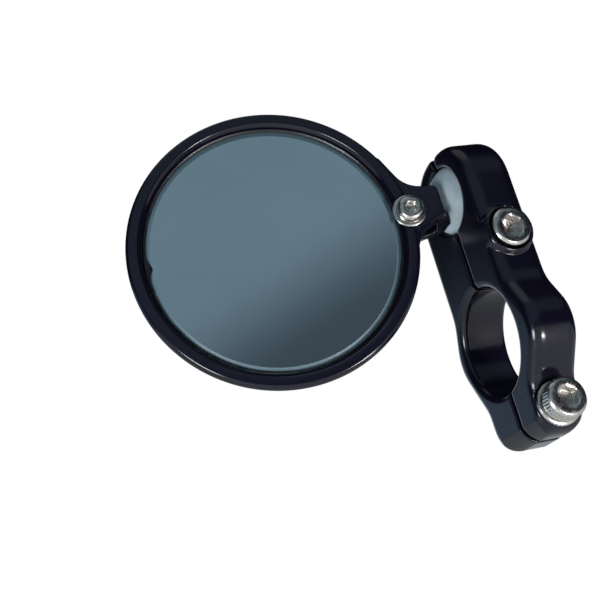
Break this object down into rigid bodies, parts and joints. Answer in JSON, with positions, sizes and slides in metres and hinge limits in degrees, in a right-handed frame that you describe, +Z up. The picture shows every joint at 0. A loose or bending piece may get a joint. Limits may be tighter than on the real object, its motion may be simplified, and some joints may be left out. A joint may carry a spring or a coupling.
{
  "type": "bicycle mirror",
  "caption": "Round convex mirror head on a screw pivot and ball stud, held by a split clamp that bolts round a handlebar.",
  "frame": {"origin": "centre of the handlebar bore, midway between the clamp's two faces", "axes": "+Y along the handlebar, away from the mirror head; +Z up the long axis of the clamp; +X towards the rider, the side the clamp screws are turned from"},
  "size_m": [0.0329, 0.0818, 0.0791],
  "materials": {
    "jaw_black": "gloss black moulding",
    "stud_black": "gloss black paint on metal",
    "housing_black": "gloss black moulding",
    "stainless": "bright stainless steel",
    "brass": "plain turned brass",
    "white_acetal": "smooth satin white plastic",
    "black_nylon": "matt black plastic",
    "mirror_glass": "convex silvered glass",
    "sealant": "smooth black sealant",
    "foam": "black foam tape"
  },
  "bodies": {
    "clamp": {"clamp_right_jaw": "jaw_black", "clamp_left_jaw": "jaw_black", "upper_clamp_screw": "stainless", "lower_clamp_screw": "stainless", "lower_screw_washer": "stainless", "upper_thread_insert": "brass", "lower_thread_insert": "brass"},
    "ball": {"swivel_ball": "white_acetal"},
    "stud": {"ball_stud": "stud_black", "friction_washer": "black_nylon", "pivot_washer": "stainless", "pivot_screw": "stainless", "spring_washer": "stainless", "pivot_nut": "stainless"},
    "head": {"mirror_housing": "housing_black", "mirror_glass": "mirror_glass", "glass_sealant_bead": "sealant", "glass_adhesive_ring": "foam"}
  },
  "joints": [
    {"name": "mirror_yaw", "type": "hinge", "parent": "clamp", "child": "ball", "pos_m": [0, 0, 0.032], "axis": [0, 0, 1], "range_deg": [-7, 15]},
    {"name": "mirror_tilt", "type": "hinge", "parent": "ball", "child": "stud", "pos_m": [0, 0, 0.032], "axis": [-0.2031, -0.9557, -0.213], "range_deg": [-42, 60]},
    {"name": "head_swing", "type": "hinge", "parent": "stud", "child": "head", "pos_m": [-0.00315, -0.01481, 0.0287], "axis": [0.9781, -0.2079, 0], "range_deg": [-33, 33]}
  ]
}
